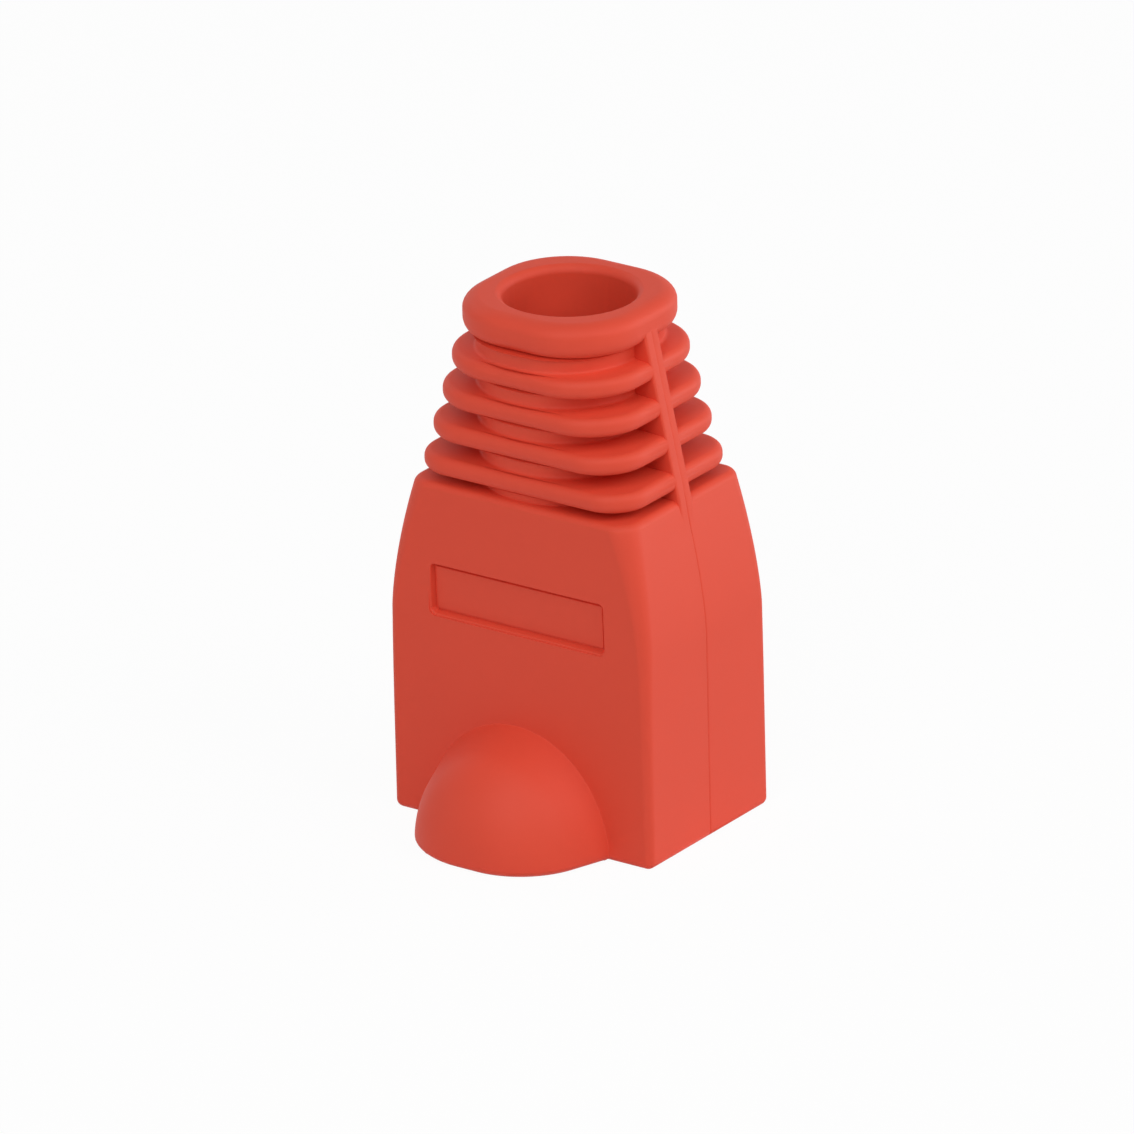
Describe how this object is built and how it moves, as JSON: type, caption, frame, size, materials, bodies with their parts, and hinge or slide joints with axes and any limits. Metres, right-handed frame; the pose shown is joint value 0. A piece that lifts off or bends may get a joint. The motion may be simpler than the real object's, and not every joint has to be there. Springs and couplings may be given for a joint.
{
  "type": "rj45 strain relief boot",
  "caption": "Moulded strain relief boot for a modular plug: straight housing with a domed latch cover and blank label recess, and a tapered ribbed neck around a round cable bore.",
  "frame": {"origin": "centre of the plug mouth, in the mouth plane, on the cable axis", "axes": "+Z along the cable towards the cable exit, X across the wide direction, -Y towards the plug's latch"},
  "size_m": [0.0144, 0.0141, 0.0253],
  "materials": {
    "boot": "soft PVC, satin matte, moulded in colour"
  },
  "bodies": {
    "root": {"boot": "boot"}
  },
  "joints": []
}
